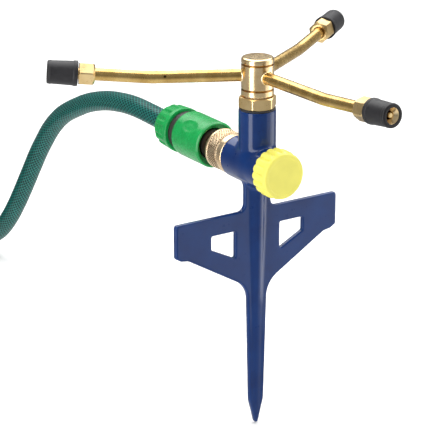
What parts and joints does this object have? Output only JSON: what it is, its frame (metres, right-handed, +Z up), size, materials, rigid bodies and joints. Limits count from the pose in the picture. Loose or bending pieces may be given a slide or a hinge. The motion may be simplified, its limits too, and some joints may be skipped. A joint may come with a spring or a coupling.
{
  "type": "rotating lawn sprinkler",
  "caption": "Lawn sprinkler with three brass arms turning on a blue ground spike, adjustable nozzles, snap hose connector with hose, and a screw cap on the outlet.",
  "frame": {"origin": "tip of the spike, on the rotor's axis", "axes": "+Z up along the rotor's axis, +Y towards the hose inlet, -Y towards the capped outlet, X along the wings"},
  "size_m": [0.3905, 0.8889, 0.3018],
  "materials": {
    "blue_coat": "gloss powder coat",
    "pale_brass": "polished",
    "golden_brass": "polished",
    "rose_brass": "satin, knurled",
    "black_rubber": "matte",
    "grip_rubber": "matte",
    "white_plastic": "natural",
    "green_plastic": "satin",
    "dark_plastic": "matte",
    "spring_steel": "bright",
    "lemon_plastic": "satin",
    "hose_teal": "clear skin over braid",
    "tie_fabric": "woven"
  },
  "bodies": {
    "spike": {"spike_body": "blue_coat", "bush_gasket": "black_rubber", "bearing_bush": "pale_brass", "lower_washer": "white_plastic", "upper_washer": "white_plastic", "inlet_nipple": "rose_brass", "inlet_gasket": "black_rubber", "nipple_seal": "black_rubber", "connector_body": "dark_plastic", "latch_claws": "white_plastic", "collar_spring": "spring_steel", "hose_collet": "white_plastic", "hose_nut": "green_plastic", "supply_hose": "hose_teal", "hose_coil": "hose_teal", "hose_tail": "hose_teal", "coil_ties": "tie_fabric", "tap_connector_body": "dark_plastic", "tap_latch_claws": "white_plastic", "tap_collar_spring": "spring_steel", "tap_hose_collet": "white_plastic", "tap_hose_nut": "green_plastic", "tap_adaptor": "dark_plastic", "adaptor_washer": "black_rubber", "adaptor_seal": "black_rubber"},
    "rotor": {"rotor_shaft": "pale_brass", "rotor_hub": "pale_brass", "arm_tube_1": "golden_brass", "arm_tube_2": "golden_brass", "arm_tube_3": "golden_brass", "nozzle_holder_1": "golden_brass", "nozzle_holder_2": "golden_brass", "nozzle_holder_3": "golden_brass"},
    "cap_carrier": {"cap_washer": "black_rubber"},
    "cap": {"end_cap": "lemon_plastic"},
    "collar": {"connector_collar": "green_plastic"},
    "tap_collar": {"tap_connector_collar": "green_plastic"},
    "nozzle_carrier_1": {"nozzle_seal_1": "black_rubber"},
    "nozzle_1": {"nozzle_cup_1": "golden_brass", "nozzle_grip_1": "grip_rubber"},
    "nozzle_carrier_2": {"nozzle_seal_2": "black_rubber"},
    "nozzle_2": {"nozzle_cup_2": "golden_brass", "nozzle_grip_2": "grip_rubber"},
    "nozzle_carrier_3": {"nozzle_seal_3": "black_rubber"},
    "nozzle_3": {"nozzle_cup_3": "golden_brass", "nozzle_grip_3": "grip_rubber"}
  },
  "joints": [
    {"name": "rotor_spin", "type": "hinge", "parent": "spike", "child": "rotor", "pos_m": [0, 0, 0.2867], "axis": [0, 0, 1], "continuous": true},
    {"name": "nozzle_travel_1", "type": "slide", "parent": "rotor", "child": "nozzle_carrier_1", "axis": [0.0383, -0.9958, 0.0837], "range_m": [0, 0.0015]},
    {"name": "nozzle_twist_1", "type": "hinge", "parent": "nozzle_carrier_1", "child": "nozzle_1", "pos_m": [0.00469, -0.12198, 0.29018], "axis": [0.0383, -0.9958, 0.0837], "range_deg": [0, 540]},
    {"name": "nozzle_travel_2", "type": "slide", "parent": "rotor", "child": "nozzle_carrier_2", "axis": [0.8432, 0.531, 0.0837], "range_m": [0, 0.0015]},
    {"name": "nozzle_twist_2", "type": "hinge", "parent": "nozzle_carrier_2", "child": "nozzle_2", "pos_m": [0.1033, 0.06505, 0.29018], "axis": [0.8432, 0.531, 0.0837], "range_deg": [0, 540]},
    {"name": "nozzle_travel_3", "type": "slide", "parent": "rotor", "child": "nozzle_carrier_3", "axis": [-0.8815, 0.4648, 0.0837], "range_m": [0, 0.0015]},
    {"name": "nozzle_twist_3", "type": "hinge", "parent": "nozzle_carrier_3", "child": "nozzle_3", "pos_m": [-0.10798, 0.05693, 0.29018], "axis": [-0.8815, 0.4648, 0.0837], "range_deg": [0, 540]},
    {"name": "cap_travel", "type": "slide", "parent": "spike", "child": "cap_carrier", "axis": [0, -1, 0], "range_m": [0, 0.01088]},
    {"name": "cap_turn", "type": "hinge", "parent": "cap_carrier", "child": "cap", "pos_m": [0, -0.0208, 0.216], "axis": [0, -1, 0], "range_deg": [0, 2160]},
    {"name": "collar_release", "type": "slide", "parent": "spike", "child": "collar", "axis": [0, 1, 0], "range_m": [0, 0.0055], "stiffness_N_per_m": 400, "deforming": ["collar_spring"]},
    {"name": "tap_collar_release", "type": "slide", "parent": "spike", "child": "tap_collar", "axis": [0.5, 0.866, 0], "range_m": [0, 0.0055], "stiffness_N_per_m": 400, "deforming": ["tap_collar_spring"]}
  ],
  "couplings": [
    {"joint": "nozzle_twist_1", "follows": "nozzle_travel_1", "rad_per_m": 6283.2},
    {"joint": "nozzle_twist_2", "follows": "nozzle_travel_2", "rad_per_m": 6283.2},
    {"joint": "nozzle_twist_3", "follows": "nozzle_travel_3", "rad_per_m": 6283.2},
    {"joint": "cap_turn", "follows": "cap_travel", "rad_per_m": 3463.7}
  ]
}
